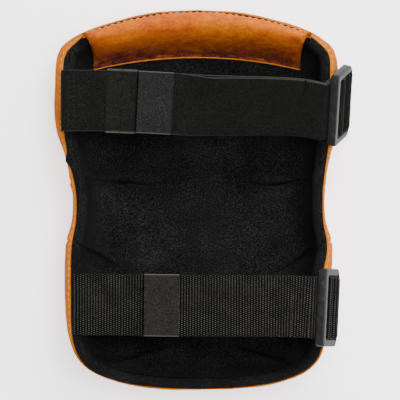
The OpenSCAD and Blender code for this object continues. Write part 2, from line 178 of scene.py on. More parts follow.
def make_rim():
    """The whole rim, clockwise from the top: place, height and bulge."""
    half = spline_rows(OUTLINE, RIM_STEPS)
    other = half[-2:0:-1][:, [0, 1, 2, 4]] * np.array([-1, 1, 1, 1])
    rim = np.vstack([half[:, :4], other])
    rim[:, 0] += -FOOT_LEAN - (LEAN - FOOT_LEAN) * np.clip(rim[:, 1] / 60, 0, 1)
    # The right side is drawn in at the lower slide
    rivet_pull = 1.8 * np.exp(-((rim[:, 1] + 66) / 26) ** 4)
    rim[:, 0] -= np.where(np.arange(len(rim)) < len(half), rivet_pull, 0)
    low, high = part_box("leather_shell")
    span = (high.y - low.y) / (np.ptp(rim[:, 1]) * MM)
    return rim * MM * np.array([1, span, 1, 1])


RIM = make_rim()
COUNT = len(RIM)
STEP = np.roll(RIM, -1, axis=0) - np.roll(RIM, 1, axis=0)
OUTWARD = np.stack([-STEP[:, 1], STEP[:, 0]], axis=1)
OUTWARD /= np.linalg.norm(OUTWARD, axis=1, keepdims=True)
RIM_LENGTH = path_lengths(RIM[:, :2])


def bowl_ring(side, t):
    """One ring of a bowl's face. t is -1 at the middle of the flat part, 0 at its edge, 1 at
    the bulge and 2 at the rim. side is (distance in, height under the knee, drop at the rim)."""
    distance, height, drop = (v * MM for v in side)
    wall = RIM[:, :2] - OUTWARD * distance
    flat = RIM[:, :2] * FLAT_SHARE
    bulge_z = BULGE_SHARE * RIM[:, 2]
    top_z = RIM[:, 2] - drop
    if t <= 0:
        place = flat * (1 + t)
        z = np.full(COUNT, height)
    elif t <= 1:
        a = math.radians(90 * t)
        place = flat + (wall - flat) * math.sin(a)
        z = height + (bulge_z - height) * (1 - math.cos(a))
    else:
        a = math.radians(90 * (t - 1))
        place = wall - OUTWARD * RIM[:, 3:4] * (1 - math.cos(a))
        z = bulge_z + (top_z - bulge_z) * math.sin(a)
    return np.column_stack([place, z])


def inside_ring(t):
    """One ring of the liner's visible face, which slopes in from the rim without a ledge."""
    distance, height, drop = (v * MM for v in LINER_IN)
    top = RIM[:, :2] - OUTWARD * (distance + RIM[:, 3:4])
    flat = RIM[:, :2] * FLAT_SHARE
    a = math.radians(45 * max(t, 0))
    place = flat * (1 + min(t, 0)) + (top - flat) * math.sin(a) ** 0.85
    z = height + (RIM[:, 2] - drop - height) * (1 - math.cos(a)) ** 1.05
    return np.column_stack([place, z])


def bowl_steps(inner, flank, brow):
    """Places t of the rings: over the flat part, up the flank, and round to the rim."""
    return np.concatenate([
        np.linspace(-0.96, 0, inner, endpoint=False),
        np.linspace(0, 1, flank, endpoint=False),
        np.linspace(1, 2, brow),
    ])


def bowl_face(side, *counts):
    """The rings of one face of a bowl, from its middle to the rim."""
    return np.array([bowl_ring(side, t) for t in bowl_steps(*counts)])


def close_bowl(name, rings, smooth_angle=60):
    """A closed piece from rings that start and end round the middle of the pad."""
    vertices, faces = tube(rings, "open")
    last = len(vertices)
    first_middle = rings[0].mean(axis=0)
    last_middle = rings[-1].mean(axis=0)
    vertices = np.vstack([vertices, first_middle, last_middle])
    end = (len(rings) - 1) * COUNT
    for i in range(COUNT):
        j = (i + 1) % COUNT
        faces.append([last, j, i])
        faces.append([last + 1, end + i, end + j])
    return mesh_piece(name, vertices, faces, smooth_angle)


# Faces of the layers: distance in from the outline, height under the knee and drop at the rim,
# in millimetres
LEATHER_OUT = (0, 2.4, 2.0)
LEATHER_IN = (2.0, 4.6, 2.0)
FILLING_OUT = (2.3, 4.9, 3.3)
FILLING_IN = (5.7, 14.9, 3.3)
LINER_OUT = (6.0, 15.2, 2.6)
LINER_IN = (7.6, 17.4, 0.0)
# Where the seam along the edge runs up the flank, counted as in bowl_ring
SEAM_T = 1.86
GATHER_PITCH = 6.8 * MM
# Where the darts at the waist lie on the left and on the right, along Y in metres
DARTS = {-1: (0.0118, -0.0255), 1: (0.0085, -0.0255)}


def dart_field(points, t, width):
    """How deep a dart cuts, 0 to 1, over the flank."""
    depth = np.zeros(len(points))
    reach = smooth_step(t, 0.35, 0.95)
    for side, places in DARTS.items():
        for y in places:
            depth += (points[:, 0] * side > 0) * reach * bump(points[:, 1] - y, width)
    return depth


def shell_relief(grid, steps):
    """How far the leather stands out from its even shape, in millimetres: dents, the seam along
    the edge with its gathers, the darts, and a small bulge beside the upper left dart."""
    wide = soft_noise(grid, 0.034, 3.1)
    fine = soft_noise(grid, 0.009, 8.7)
    gathers = np.sin(2 * math.pi * RIM_LENGTH / GATHER_PITCH)
    amount = np.zeros(grid.shape[:2])
    for r, t in enumerate(steps):
        lift = smooth_step(t, 0.02, 0.3)
        amount[r] = lift * (0.45 * wide[r] + 0.16 * fine[r] - 0.55 * bump(t - SEAM_T, 0.06))
        amount[r] += 0.16 * gathers * bump(t - SEAM_T + 0.16, 0.12)
        amount[r] += 0.5 * dart_field(grid[r], t, 0.005) - 0.9 * dart_field(grid[r], t, 0.0011)
        bulge = bump(grid[r, :, 1] - 0.0105, 0.003) * (grid[r, :, 0] < 0)
        amount[r] += 0.5 * lift * bulge * (t > 1)
    return amount


def leather_shell():
    """The leather, puffed between its seams, with the darts at the waist."""
    steps = bowl_steps(5, 30, 26)
    grid = np.array([bowl_ring(LEATHER_OUT, t) for t in steps])
    grid -= grid_normals(grid, True) * shell_relief(grid, steps)[..., None] * MM
    grid[..., 2] = np.maximum(grid[..., 2], LEATHER_OUT[1] * MM)
    inner = bowl_face(LEATHER_IN, 2, 8, 8)[::-1]
    piece = close_bowl("leather_skin", np.vstack([grid, inner]))
    wear = np.repeat(np.append(smooth_step(steps, 1.55, 2.0), np.zeros(len(inner))), COUNT)
    add_attribute(piece, "wear", np.append(wear, [0, 0]))
    return piece, grid, steps


# The liner's folds on the right, from and to, in metres; the left has the same ones mirrored
CREASES = (((0.0790, -0.0245), (0.0480, -0.0450)), ((0.0700, 0.0130), (0.0250, 0.0090)),
           ((0.0600, -0.1020), (0.0150, -0.0900)))
# Width of the painted shade line along a fold and how far that line wavers, and the pitch of the
# liner's weave
FOLD_SHADE_WIDTH, FOLD_SHADE_WAVER, LINER_PITCH = 1.6 * MM, 6.0 * MM, 0.95 * MM
# The liner's turn over the rim: distance in from the outline and drop at the rim, in millimetres
LINER_LIP = ((2.2, 2.6), (2.2, 1.85), (1.1, 1.85), (0.9, 1.4), (1.0, 0.7), (1.4, 0.2), (2.1, -0.1),
             (3.1, -0.2), (4.1, -0.1), (5.1, 0.35), (6.1, 1.1), (6.9, 2.2), (7.35, 3.5))


def crease_depth(points, width):
    """How near points are to the liner's folds, 0 to 1, for folds of the given width."""
    depth = np.zeros(len(points))
    for side, (start, end) in product((-1, 1), CREASES):
        start, end = np.array(start) * (side, 1), np.array(end) * (side, 1)
        line = end - start
        share = ((points[:, :2] - start) @ line) / (line @ line)
        near = points[:, :2] - start - np.clip(share, 0, 1)[:, None] * line
        fade = smooth_step(share, 1.15, 0.55) * smooth_step(share, -0.5, 0.0)
        depth += bump(np.linalg.norm(near, axis=1), width * MM) * fade
    return depth


def liner():
    """The black liner: the bowl's inside, its turned rim and a plain back."""
    steps = bowl_steps(16, 34, 22)
    steps = steps[steps < SEAM_T][::-1]
    inside = np.array([inside_ring(t) for t in steps])
    normals = grid_normals(inside, True)
    wide = soft_noise(inside, 0.040, 5.3)
    middling = soft_noise(inside, 0.013, 1.9)
    amount = np.zeros(inside.shape[:2])
    for r, t in enumerate(steps):
        calm = 1 - smooth_step(t, 1.6, 2.0)
        fold = crease_depth(inside[r], 7.0) - 2.0 * crease_depth(inside[r], 2.6)
        amount[r] = calm * (0.7 * wide[r] + 0.22 * middling[r] + fold)
    inside = inside + normals * amount[..., None] * MM
    back = bowl_face(LINER_OUT, 2, 8, 8)
    lip = [bowl_ring((distance, LINER_OUT[1], drop), 2) for distance, drop in LINER_LIP]
    rings = np.vstack([back, lip, inside])
    # A corner of the turned edge stands out at the left, above the waist
    tuck = 2.4 * MM * bump(RIM[:, 1] - 0.0245, 0.0032) * (RIM[:, 0] < 0)
    rings[len(back):len(back) + len(lip), :, :2] += OUTWARD * tuck[:, None]
    return close_bowl("liner_cloth", rings, 70)


def filling():
    """The foam and felt between the leather and the liner, hidden by them."""
    outer, inner = (bowl_face(side, 2, 10, 8) for side in (FILLING_OUT, FILLING_IN))
    return close_bowl("pad_filling", np.vstack([outer, inner[::-1]]))


# ---- knee patch
def rounded_outline(width, length, radius, per_corner=20):
    """Points round a rectangle with round corners, anticlockwise."""
    points = []
    for sx, sy, start in ((1, 1, 0), (-1, 1, 90), (-1, -1, 180), (1, -1, 270)):
        centre = np.array([sx * (width / 2 - radius), sy * (length / 2 - radius)])
        for j in range(per_corner + 1):
            a = math.radians(start + 90 * j / per_corner)
            points.append(centre + radius * np.array([math.cos(a), math.sin(a)]))
    return np.array(points)


PATCH_SEAM, PATCH_CORNER = 4.0, 32.0


def patch_outline(inset):
    """The knee patch's outline, drawn in by an inset in millimetres."""
    low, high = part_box("knee_patch")
    shrink = 2 * inset * MM
    return rounded_outline(high.x - low.x - shrink, high.y - low.y - shrink,
                           (PATCH_CORNER - inset) * MM)


def knee_patch():
    """The second layer of leather under the knee, with a sewn groove round its edge."""
    profile = [(30, 0), (20, 0), (8, 0), (5.2, 0.0), (4.5, 0.35), (PATCH_SEAM, 0.85),
               (3.5, 0.35), (2.8, 0.02), (1.2, 0.1), (0.4, 0.5), (0, 1.2), (0.25, 1.9),
               (0.9, 2.2), (8, 2.25), (30, 2.25)]
    rings = []
    for inset, z in profile:
        outline = patch_outline(inset)
        rings.append(np.column_stack([outline, np.full(len(outline), z * MM)]))
    vertices, faces = tube(rings)
    faces = [f[::-1] for f in faces]
    piece = mesh_piece("knee_patch_skin", vertices, faces, 40)
    add_attribute(piece, "wear", np.full(len(vertices), 0.35))
    return piece


# ---- top facing
ROLL_RISE = 11 * MM
FLANGE = 2.4 * MM
FACING_T = 1.9 * MM
ROLL_ROWS, FLANGE_ROWS, FACING_COLUMNS = 46, 7, 130
FACING_ROWS = ROLL_ROWS + FLANGE_ROWS
END_PUFF = 17 * MM


def top_edge(x):
    """y of the pad's top edge at the given x."""
    return 118.4 * MM - x * x / 0.345


def top_rim(x):
    """Height of the rim along the top edge."""
    return 50 * MM + 6 * MM * (x / 0.075) ** 2


def facing_edge(x):
    """y of the facing's sewn lower edge."""
    return (88.7 - 8.7 * (x / 0.068) ** 2) * MM


def facing_half(share):
    """Half the facing's width, from its top seam to its sewn lower edge."""
    return (71.0 - 6.8 * math.sin(math.radians(90 * min(share * 1.15, 1))) ** 1.4) * MM


def bezier(a, b, c, d, t):
    """A point of a cubic curve from a to d that b and c pull on."""
    return (a * (1 - t) ** 3 + 3 * b * t * (1 - t) ** 2 + 3 * c * t * t * (1 - t)
            + d * t ** 3)


def facing_place(x, row, liner_height):
    """A point of the facing's outer face: y and z at the given x and row."""
    ye, yl, zr = top_edge(x) - 2.3 * MM, facing_edge(x), top_rim(x)
    foot = yl + FLANGE
    if row >= ROLL_ROWS:
        y = foot - FLANGE * (row - ROLL_ROWS + 1) / FLANGE_ROWS
        return y, liner_height(x, y) + FACING_T * 0.9
    a = np.array([ye, zr - 0.4 * MM])
    b = np.array([ye + 0.2 * MM, zr + ROLL_RISE + 3 * MM])
    c = np.array([yl + 17 * MM, zr + ROLL_RISE + 7 * MM])
    d = np.array([foot, liner_height(x, foot) + FACING_T * 0.7])
    return bezier(a, b, c, d, row / (ROLL_ROWS - 1))


def facing_grid(liner_height):
    """Points of the facing's outer face, which comes down to the liner at both ends."""
    grid = np.zeros((FACING_ROWS, FACING_COLUMNS, 3))
    for row, column in product(range(FACING_ROWS), range(FACING_COLUMNS)):
        side = 2 * column / (FACING_COLUMNS - 1) - 1
        half = facing_half(row / (FACING_ROWS - 1))
        x = side * half
        y, z = facing_place(x, row, liner_height)
        near_end = 1 - min((1 - abs(side)) * half / END_PUFF, 1)
        puff = math.sqrt(max(1 - near_end ** 2.4, 0))
        base = liner_height(x, y, z) + FACING_T * 0.9
        grid[row, column] = x - LEAN * MM, y, base + (z - base) * puff
    return grid


def facing_waves(grid, share):
    """How far the facing stands out from its even shape: dents, and puckers at both seams."""
    wide = soft_noise(grid * np.array([1, 1, 0.5]), 0.021, 2.2)
    fine = soft_noise(grid, 0.007, 6.1)
    along = grid[..., 0]
    waves = (0.9 * wide + 0.22 * fine) * bump(share - 0.42, 0.33)
    waves += 0.35 * np.sin(along / 0.0019 + 3 * wide) * bump(share - 0.83, 0.05)
    waves += 0.22 * np.sin(along / 0.0015 + 2 * wide) * bump(share - 0.08, 0.04)
    return waves * MM


def top_facing(liner_piece):
    """Leather folded over the top edge into a puffed roll and sewn down to the liner."""
    tree = BVHTree.FromObject(liner_piece, bpy.context.evaluated_depsgraph_get())

    def liner_height(x, y, default=0.02):
        hit = tree.ray_cast(Vector((x - LEAN * MM, y, 0.2)), Vector((0, 0, -1)))[0]
        return hit.z if hit else default

    grid = facing_grid(liner_height)
    normals = grid_normals(grid, False)
    normals *= np.sign(normals[ROLL_ROWS // 2, FACING_COLUMNS // 2, 2])
    share = np.linspace(0, 1, FACING_ROWS)
    outer = grid + normals * facing_waves(grid, share[:, None])[..., None]
    inner = outer - normals * FACING_T
    rings = [np.vstack([outer[:, k], inner[::-1, k]]) for k in range(FACING_COLUMNS)]
    vertices, faces = tube(rings, "open")
    count = 2 * FACING_ROWS
    last = (FACING_COLUMNS - 1) * count
    for i in range(FACING_ROWS - 1):
        j = count - 1 - i
        faces.append([i, i + 1, j - 1, j])
        faces.append([last + j, last + j - 1, last + i + 1, last + i])
    piece = mesh_piece("top_facing_leather", vertices, faces, 55)
    wear = smooth_step(share, 0.955, 0.985) + 0.5 * smooth_step(share, 0.10, 0.0)
    # Painted shade down the roll towards its sewn lower edge, where it turns away from the light;
    # partly pressed nap
    dark = smooth_step(share, 0.40, 0.97) ** 1.8 * (1 - smooth_step(share, 0.95, 0.975))
    for name, values in (("wear", wear), ("dark", dark)):
        add_attribute(piece, name, np.tile(np.append(values, values[::-1]), FACING_COLUMNS))
    return piece, outer, normals


def roll_filling(outer, normals):
    """The foam roll under the facing."""
    inside = (slice(3, ROLL_ROWS - 1), slice(8, -8))
    grid = outer[inside] - normals[inside] * (FACING_T + 0.4 * MM)
    base = grid.copy()
    base[..., 2] = np.minimum(base[..., 2], grid[-1, :, 2][None, :] + 1 * MM)
    base[..., 2] -= 1 * MM
    rings = [np.vstack([grid[:, k], base[::-1, k]]) for k in range(grid.shape[1])]
    return mesh_piece("top_roll_foam", *tube(rings))


# ---- straps and slides
# How far the slides are turned about Z, in degrees
SLIDE_TURN = -2.7


def turned(point, degrees):
    """A direction turned about Z."""
    c, s = math.cos(math.radians(degrees)), math.sin(math.radians(degrees))
    return np.array([point[0] * c - point[1] * s, point[0] * s + point[1] * c, point[2]])


class Strap:
    """Places of one strap and its slide, in the plane across the slide's bars. bar is the middle
    of the slide's outer bar, tilt the strap's turn about X, lean the slide's turn about its bars,
    tab_x the inner face of the anchor tab, start where the strap leaves the left rim, tail_x the
    end of its tail and settle the y that it comes to on its way. Millimetres and degrees."""

    def __init__(self, name, bar, tilt, lean, tab_x, start, tail_x, settle):
        self.name = name
        self.bar = np.array(bar) * MM
        self.tilt, self.lean = math.radians(tilt), math.radians(lean)
        self.start_x, self.start_y = start
        self.tab_x, self.tail_x, self.settle = tab_x, tail_x, settle
        self.cross = turned((0, math.cos(self.tilt), math.sin(self.tilt)), SLIDE_TURN)

    def leaned(self, x, z):
        """A point of the slide's own section, turned to where the slide leans."""
        c, s = math.cos(self.lean), math.sin(self.lean)
        return x * c + z * s, z * c - x * s

    def placed(self, x, z):
        """A point of the plane across the bars, in millimetres, as a place on the pad."""
        t = self.tilt
        return self.bar + MM * turned((x, -z * math.sin(t), z * math.cos(t)), SLIDE_TURN)

    def at_slide(self, x, z):
        """A point of the slide's own section, in millimetres, as a place on the pad."""
        return self.placed(*self.leaned(x, z))


# Sizes and places of the slide, the strap and what lies on it, in millimetres. _DEPTH is in the
# slide's own section, and _UP is above the middle of the standing strap.
SLIDE_W, SLIDE_L, SLIDE_T, BAR_W = 21.0, 48.0, 5.5, 4.2
PITCH = SLIDE_W - BAR_W
CENTRE_R, OUTER_R = 1.6, 2.1
STRAP_T, STRAP_W = 1.4, 38.0
LAP_GAP = 0.3
TAIL_DEPTH = -(SLIDE_T / 2 + 0.15 + STRAP_T / 2)
STAND_DEPTH = TAIL_DEPTH - STRAP_T - LAP_GAP
BEND_R = 2.5
BEND_X = -(PITCH + BAR_W / 2 + 0.3)
BEND_DEPTH = STAND_DEPTH - BEND_R
STRIP_W, STRIP_T, HOOK_T, TAB_T, TAB_L = 9.0, 0.5, 1.0, 1.0, 21.0
RIB, YARN = 1.72, 1.25
HOOK_UP = STRAP_T / 2 + 0.1 + STRIP_T + 0.3 + HOOK_T / 2
TAIL_UP = HOOK_UP + HOOK_T / 2 + 0.3 + STRAP_T / 2
TAB_UP = TAIL_UP + STRAP_T / 2 + 0.3 + TAB_T / 2
LAP_UP = STRAP_T + LAP_GAP
# Where the straps take most of their twist, how high they start, how far a tip can be slid, and
# how far a standing strap sags under its tail and over what width
TWIST = (-19.0, 10.0)
STRAP_Z = 58.1
ADJUST = 12
SAG, SAG_WIDTH = 1.6, 24
# Points of the tail, from the slide on, that the bending root has
ROOT_POINTS = 9

UPPER = Strap("upper", bar=(89.6, 61.5, 53.3), tilt=26, lean=66, tab_x=-1.8,
              start=(-84.5, 61.4), tail_x=-38, settle=58.5)
LOWER = Strap("lower", bar=(81.9, -66.5, 54.4), tilt=0, lean=66, tab_x=-0.3,
              start=(-77, -64.5), tail_x=-34, settle=-65.0)


def bend_middle(strap):
    """Centre of the bend before the slide, in the plane across the bars."""
    return strap.leaned(BEND_X, BEND_DEPTH)


def above_pad(strap, x, up, under=False):
    """Place and direction across the strap at x, in millimetres, above the pad. The strap under
    the tail sags a little and twists halfway between the tail's twists at both ends of its
    slide, so that the tail clears it."""
    turn = strap.placed(*bend_middle(strap)) / MM
    s = (x - strap.start_x) / (turn[0] - strap.start_x)
    twists = [0.8 * smooth_step(place, *TWIST) + 0.2 * smooth_step(place, TWIST[1], turn[0])
              for place in ((x, x + ADJUST) if under else (x,))]
    a = strap.tilt * float(np.mean(twists))
    if under:
        up -= SAG * float(bump(x + 2, SAG_WIDTH))
    end = turn + BEND_R * turned((0, -math.sin(strap.tilt), math.cos(strap.tilt)), SLIDE_TURN)
    fall = strap.start_y - strap.settle
    y = strap.start_y - fall * float(smooth_step(s, 0.1, 0.6))
    y -= (strap.settle - end[1]) * max(s, 0) ** 14
    z = STRAP_Z + (end[2] - STRAP_Z) * s
    degrees = SLIDE_TURN * min(max(s, 0), 1)
    normal = turned((0, -math.sin(a), math.cos(a)), degrees)
    cross = turned((0, math.cos(a), math.sin(a)), degrees)
    return (np.array([x, y, z]) + normal * up) * MM, cross


def along_pad(strap, xs, ups, under=False):
    """Places above the pad at several x and heights, and the direction across at each."""
    rows = [above_pad(strap, x, up, under) for x, up in zip(xs, ups)]
    return [place for place, _ in rows], [cross for _, cross in rows]


def arc_points(centre, radius, start, end, steps):
    """Points of an arc in a plane, from a start angle to an end angle in degrees."""
    angles = np.radians(np.linspace(start, end, steps + 1))
    return [(centre[0] + radius * math.cos(a), centre[1] + radius * math.sin(a))
            for a in angles]


def resample(points, crosses, step):
    """Evenly spaced places along a smooth curve through the points."""
    rows = np.hstack([np.array(points), np.array(crosses)])
    fine = spline_rows(rows, 12)
    lengths = path_lengths(fine[:, :3])
    wanted = np.linspace(0, lengths[-1], max(3, int(round(lengths[-1] / step)) + 1))
    made = along_path(fine, lengths, wanted)
    return made[:, :3], made[:, 3:], wanted


def section_outline(width, thick, across):
    """Round-edged section of a band: (across, up) pairs going round it, and its across share."""
    r = thick * 0.5
    top = np.linspace(-(width / 2 - r), width / 2 - r, across)
    side = np.radians(np.linspace(90, -90, 7))[1:-1]
    right = [(width / 2 - r + r * math.cos(a), r * math.sin(a)) for a in side]
    upper = [(x, r) for x in top]
    lower = [(x, -r) for x in top[::-1]]
    left = [(-x, z) for x, z in right[::-1]]
    return np.array(upper + right + lower + left)


def band(name, points, crosses, width, thick, step, across=26, relief=None, width_at=None):
    """A flat band of cloth along a curve. relief(along, across) lifts both faces, and
    width_at(place) gives the share of the width there."""
    centre, cross, length = resample(points, crosses, step * MM)
    tangent = np.gradient(centre, axis=0)
    tangent /= np.linalg.norm(tangent, axis=1, keepdims=True)
    cross -= tangent * np.sum(cross * tangent, axis=1, keepdims=True)
    cross /= np.linalg.norm(cross, axis=1, keepdims=True)
    normal = np.cross(tangent, cross)
    outline = section_outline(width * MM, thick * MM, across)
    side = outline[:, 0][None, :]
    up = np.repeat(outline[:, 1][None, :], len(centre), axis=0)
    if relief is not None:
        up = up + np.sign(up) * relief(length[:, None] / MM, side / MM) * MM
    if width_at is not None:
        side = side * np.array([width_at(place) for place in centre])[:, None]
    rings = (centre[:, None, :] + cross[:, None, :] * side[..., None]
             + normal[:, None, :] * up[..., None])
    piece = mesh_piece(name, *tube(rings), 60)
    add_attribute(piece, "along", np.repeat(length / MM, len(outline)))
    add_attribute(piece, "across", np.tile(outline[:, 0] / MM, len(centre)))
    return piece


def rib_relief(along, across):
    """Ribs across the webbing, with the yarns' small steps."""
    rib = np.abs(np.sin(math.pi * along / RIB)) ** 0.8 - 0.5
    yarn = 0.18 * np.sin(2 * math.pi * across / YARN + math.pi * np.floor(along / RIB))
    edge = smooth_step(np.abs(across), STRAP_W / 2 - 0.2, STRAP_W / 2 - 2.2)
    return (0.26 * rib + 0.10 * yarn) * edge


def elastic_relief(along, across):
    """Fine lengthwise knit and a slightly waved surface."""
    knit = 0.05 * np.sin(2 * math.pi * across / 1.9)
    wave = 0.10 * np.sin(along / 7.3 + across / 11.0) * np.sin(along / 19.0)
    edge = smooth_step(np.abs(across), STRAP_W / 2 - 0.2, STRAP_W / 2 - 1.6)
    hem = -0.12 * bump(np.abs(across) - (STRAP_W / 2 - 2.0), 0.5)
    return (knit + wave) * edge + hem


def turn_points(strap):
    """The strap's way through the slide: under both inner bars, round the centre bar and back."""
    c = (-PITCH / 2, 0)
    r = CENTRE_R + 0.15 + STRAP_T / 2
    path = [(-14.6, STAND_DEPTH), (-12.6, STAND_DEPTH + 0.3), (-10.4, -3.8)]
    path += arc_points(c, r, -70, 180, 9)
    path += [(-11.4, -1.6), (-12.4, -2.9), (-14, TAIL_DEPTH), (BEND_X + 2, TAIL_DEPTH)]
    return [strap.at_slide(*p) for p in path]


def bend_points(strap, radius):
    """The bend that takes the strap from the level into the slide."""
    end = 90 - math.degrees(strap.lean)
    return [strap.placed(*p) for p in arc_points(bend_middle(strap), radius, 90, end, 5)]


def standing_strap(strap, relief, step):
    """The strap from the left rim to the slide and round its centre bar."""
    low = strap.start_x
    stop = strap.placed(*bend_middle(strap))[0] / MM
    xs = np.linspace(low + 6, stop, 22)[:-1]
    foot, _ = along_pad(strap, (low - 0.7, low - 0.6, low + 1.0), (-2.6, -1.0, -0.05))
    run, run_crosses = along_pad(strap, xs, np.zeros(len(xs)), under=True)
    turn = bend_points(strap, BEND_R) + turn_points(strap)
    crosses = [np.array([0, 1, 0])] * len(foot) + run_crosses + [strap.cross] * len(turn)
    return band(strap.name + "_strap_band", foot + run + turn, crosses, STRAP_W, STRAP_T, step,
                relief=relief)


def tail_points(strap):
    """The free tail from the slide to its end: a bend, a slow rise and a level stretch."""
    stop = strap.placed(*bend_middle(strap))[0] / MM
    lift = strap.tail_x + TAB_L + 8
    bend = [strap.at_slide(BEND_X + 1.6, TAIL_DEPTH)]
    bend += bend_points(strap, BEND_R + LAP_UP)[::-1]
    rising = np.linspace(stop - 4, lift, 12)
    ups = LAP_UP + (TAIL_UP - LAP_UP) * (stop - rising) / (stop - lift)
    level = np.linspace(lift - 4, strap.tail_x, 6)
    points, crosses = along_pad(strap, np.append(rising, level), np.append(ups, [TAIL_UP] * 6))
    return bend + points, [strap.cross] * len(bend) + crosses


def free_tail(strap, relief, step):
    """The tail in two lengths: one that bends at the slide and one that is adjusted."""
    points, crosses = tail_points(strap)
    pieces = [band(strap.name + name, points[part], crosses[part], STRAP_W, STRAP_T, step,
                   relief=relief)
              for name, part in (("_tail_root_band", slice(ROOT_POINTS)),
                                 ("_tail_band", slice(ROOT_POINTS - 1, None)))]
    return *pieces, points[:ROOT_POINTS], points[ROOT_POINTS - 1:]


def flat_patch(strap, name, start, end, up, width, thick, step, relief=None):
    """A patch lying above the pad between two places along the strap."""
    places, crosses = along_pad(strap, np.linspace(start, end, 7), [up] * 7)
    return band(name, places, crosses, width, thick, step, across=22, relief=relief)


def tab_relief(along, across):
    """A smooth tab pulled down a little by its two rows of stitches."""
    rows = bump(along - 2.0, 0.55) + bump(along - (TAB_L - 1.5), 0.55)
    inside = smooth_step(np.abs(across), STRAP_W / 2 - 1, STRAP_W / 2 - 3)
    return -0.07 * rows * inside


def hook_relief(along, across):
    return 0.12 * np.sin(math.pi * along / 0.9) * np.sin(math.pi * across / 0.9)


def leaving(point, radius, side):
    """Angle at which a line from the point leaves a circle round the bar."""
    reach = math.hypot(*point)
    return math.degrees(math.atan2(point[1], point[0]) + side * math.acos(radius / reach))


def anchor_tab(strap, relief):
    """The webbing loop round the slide's outer bar, riveted to the flank."""
    r = OUTER_R + 0.3 + STRAP_T / 2
    low, taper_from, narrow = -20, -7, 11 / (STRAP_W / 2)
    inner, outer = (strap.tab_x, -9), (strap.tab_x + STRAP_T + 0.2, -10)
    path = [(inner[0], low), (inner[0], -16.5), (inner[0], -12), inner]
    path += arc_points((0, 0), r, 360 + leaving(inner, r, -1), leaving(outer, r, 1), 12)
    path += [outer, (outer[0], -13), (outer[0], -16.5), (outer[0], low)]
    points = [strap.placed(*p) for p in path]

    def width_at(place):
        depth = (place - strap.bar)[2] / math.cos(strap.tilt) / MM
        return 1 + (narrow - 1) * min(max((taper_from - depth) / (taper_from - low), 0), 1)

    return band(strap.name + "_anchor_loop", points, [strap.cross] * len(points),
                STRAP_W - 1, STRAP_T, 0.4, relief=relief, width_at=width_at)


def slide_frame(strap):
    """The moulded slide: a rounded frame with its near bar, centre bar and outer bar."""
    def ring(width, length, radius, x, z):
        return [(px + x, y, z) for px, y in rounded_outline(width, length, radius, 6)]

    def bar(x, radius):
        half = SLIDE_L / 2 - BAR_W + 0.6
        section = arc_points((x, 0), radius, 0, -360, 28)[:-1]
        return tube([[(px, y, pz) for px, pz in section] for y in (-half, 0, half)])

    # How far the frame's edges are cut back, from its top face to its bottom face
    top, cut = SLIDE_T / 2, 0.7
    edge = [(cut, top), (cut * 0.3, top - cut * 0.3), (0, top - cut)]
    edge += [(back, -z) for back, z in edge[::-1]]
    window = PITCH - 0.02, SLIDE_L - 2 * BAR_W
    profile = [ring(window[0] + 2 * back, window[1] + 2 * back, 0.9 + back,
                    (BAR_W - PITCH) / 2, z) for back, z in edge]
    profile += [ring(SLIDE_W - 2 * back, SLIDE_L - 2 * back, 2.4 - back, -PITCH / 2, z)
                for back, z in edge[::-1]]
    vertices, faces = joined([tube(profile, "joined"), bar(0, OUTER_R), bar(-PITCH / 2, CENTRE_R)])
    placed = [strap.at_slide(x, z) + strap.cross * y * MM for x, y, z in vertices]
    return mesh_piece(strap.name + "_slide_moulding", placed, faces, 35)


# ---- stitches
def stitch(start, end, up, thread):
    """A short length of thread, thinner where it dips in at both ends."""
    cross = np.cross(end - start, up)
    cross /= np.linalg.norm(cross)
    sink, rows, sides = 0.25, 7, 7
    rings = []
    for t in np.linspace(0, 1, rows):
        arch = max(math.sin(math.pi * t), 0) ** 0.6
        centre = start + (end - start) * t + up * thread * (arch * (0.5 + sink) - sink)
        size = thread / 2 * (0.45 + 0.55 * arch)
        turns = 2 * math.pi * np.arange(sides) / sides
        rings.append([centre + (cross * math.cos(a) + up * math.sin(a)) * size for a in turns])
    return tube(rings)


def sew(name, lines, length, gap, thread):
    """Evenly spaced stitches along lines, given as places and the normals there. The stitches'
    length, the gap between them and the thread's thickness are in millimetres."""
    length, gap = length * MM, gap * MM
    parts = []
    for line, normals in lines:
        lengths = path_lengths(line)
        at = gap
        while at + length < lengths[-1]:
            start, end = along_path(line, lengths, (at, at + length))
            up = along_path(normals, lengths, at + length / 2)
            parts.append(stitch(start, end, up / np.linalg.norm(up), thread * MM))
            at += length + gap
    return mesh_piece(name, *joined(parts), 80)


def edge_seam(grid, steps):
    """The seam that joins the leather to the liner's turned edge, down both sides."""
    row = int(np.argmin(np.abs(steps - SEAM_T)))
    normals = -grid_normals(grid, True)
    sides = [(np.abs(RIM[:, 1]) < 0.112) & (RIM[:, 0] * side > 0.02) for side in (1, -1)]
    lines = [(grid[row, side], normals[row, side]) for side in sides]
    return sew("edge_seam", lines, 2.6, 1.3, 0.75)


def facing_seam(outer, normals):
    """The seam along the top edge of the facing."""
    return sew("facing_seam", [(outer[2, 4:-4], normals[2, 4:-4])], 2.6, 1.5, 0.6)


def patch_seam():
    """The seam round the knee patch, lying in its groove."""
    outline = patch_outline(PATCH_SEAM)
    outline = np.vstack([outline, outline[:1]])
    line = np.column_stack([outline, np.full(len(outline), 0.75 * MM)])
    return sew("patch_seam", [(line, np.tile((0, 0, -1.0), (len(line), 1)))], 3.2, 1.8, 0.7)


def rows_across(strap, name, places, up):
    """Rows of stitches across a strap."""
    lines = []
    for x in places:
        place, cross = above_pad(strap, x, up)
        line = np.array([place + cross * y * MM for y in np.linspace(-17.2, 17.2, 30)])
        lines.append((line, np.tile(np.cross((1.0, 0, 0), cross), (len(line), 1))))
    return sew(name, lines, 2.1, 0.9, 0.35)


